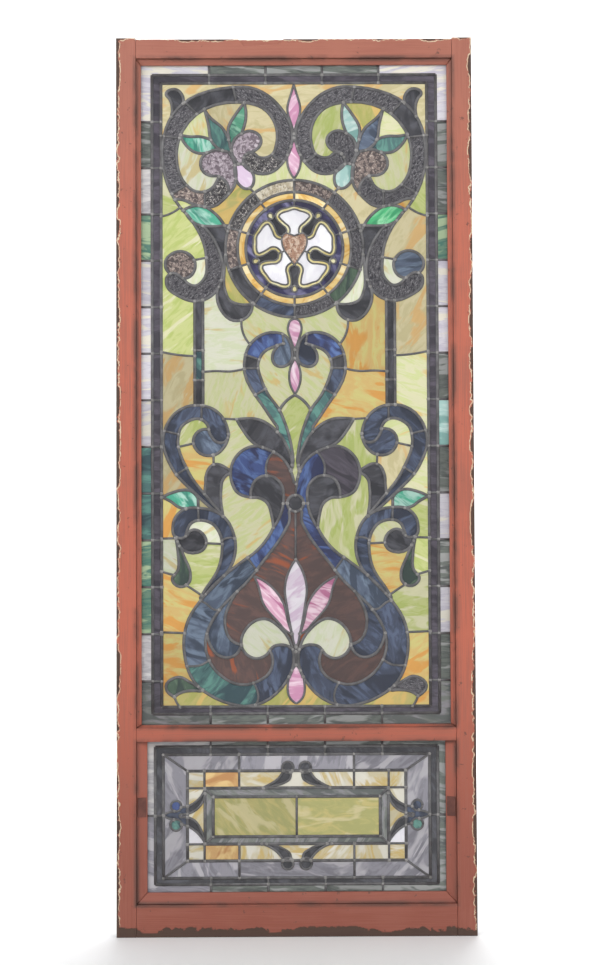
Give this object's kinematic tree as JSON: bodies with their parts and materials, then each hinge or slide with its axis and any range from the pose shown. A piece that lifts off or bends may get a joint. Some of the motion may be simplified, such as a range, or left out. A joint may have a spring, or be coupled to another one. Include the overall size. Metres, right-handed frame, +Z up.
{
  "type": "stained glass window",
  "caption": "Tall fixed window of leaded opalescent glass: a scroll and rose panel over a low one in a painted wooden sash.",
  "frame": {"origin": "middle of the underside of the sash, at half its depth", "axes": "+Z up, +X to the right seen from the front, the decorated front faces -Y"},
  "size_m": [0.82, 0.044, 2.06],
  "materials": {
    "painted_wood": "old terracotta paint, satin, brush-marked, with flakes and grime in the corners",
    "weathered_wood": "the same paint worn thin and dirty, bare grey-brown timber at the foot",
    "lead": "dull grey lead came with rounded faces and soldered joints",
    "steel": "small dark worn repair plate",
    "field_glass": "opalescent cream, yellow and lime glass with amber streaks",
    "border_glass": "streaky grey-green and lilac glass",
    "dark_glass": "near-black violet glass, glossy",
    "rim_glass": "beige, brown and black mottled glass",
    "gold_glass": "amber-yellow opalescent glass",
    "white_glass": "milk-white opalescent glass",
    "pink_glass": "pink and mauve streaky glass",
    "lilac_glass": "grey-lilac wispy glass",
    "blue_glass": "deep blue streaky glass, in the scrolls",
    "teal_glass": "turquoise and green streaky glass, in the leaves",
    "brown_glass": "brown and copper mottled glass"
  },
  "bodies": {
    "root": {"left_stile": "painted_wood", "right_stile": "painted_wood", "top_rail": "painted_wood", "middle_rail": "painted_wood", "upper_left_bead": "painted_wood", "upper_right_bead": "painted_wood", "upper_top_bead": "painted_wood", "upper_bottom_bead": "painted_wood", "bottom_rail": "weathered_wood", "lower_left_bead": "weathered_wood", "lower_right_bead": "weathered_wood", "lower_bottom_bead": "weathered_wood", "left_plate": "steel", "right_plate": "steel", "upper_lead": "lead", "lower_lead": "lead", "upper_outer_border_glass": "border_glass", "upper_inner_border_glass": "dark_glass", "upper_field_glass": "field_glass", "rose_rim_glass": "rim_glass", "rose_gold_glass": "gold_glass", "rose_glass": "white_glass", "roundel": "dark_glass", "left_bar_glass": "dark_glass", "right_bar_glass": "dark_glass", "jewel_top": "pink_glass", "jewel_over_rose": "pink_glass", "jewel_under_rose": "pink_glass", "jewel_in_heart": "pink_glass", "jewel_bottom": "pink_glass", "lower_outer_glass": "border_glass", "lower_dark_glass": "dark_glass", "lower_band_glass": "lilac_glass", "lower_tile_glass": "field_glass", "lower_frame_glass": "border_glass", "lower_left_light": "gold_glass", "lower_right_light": "gold_glass"}
  },
  "joints": []
}
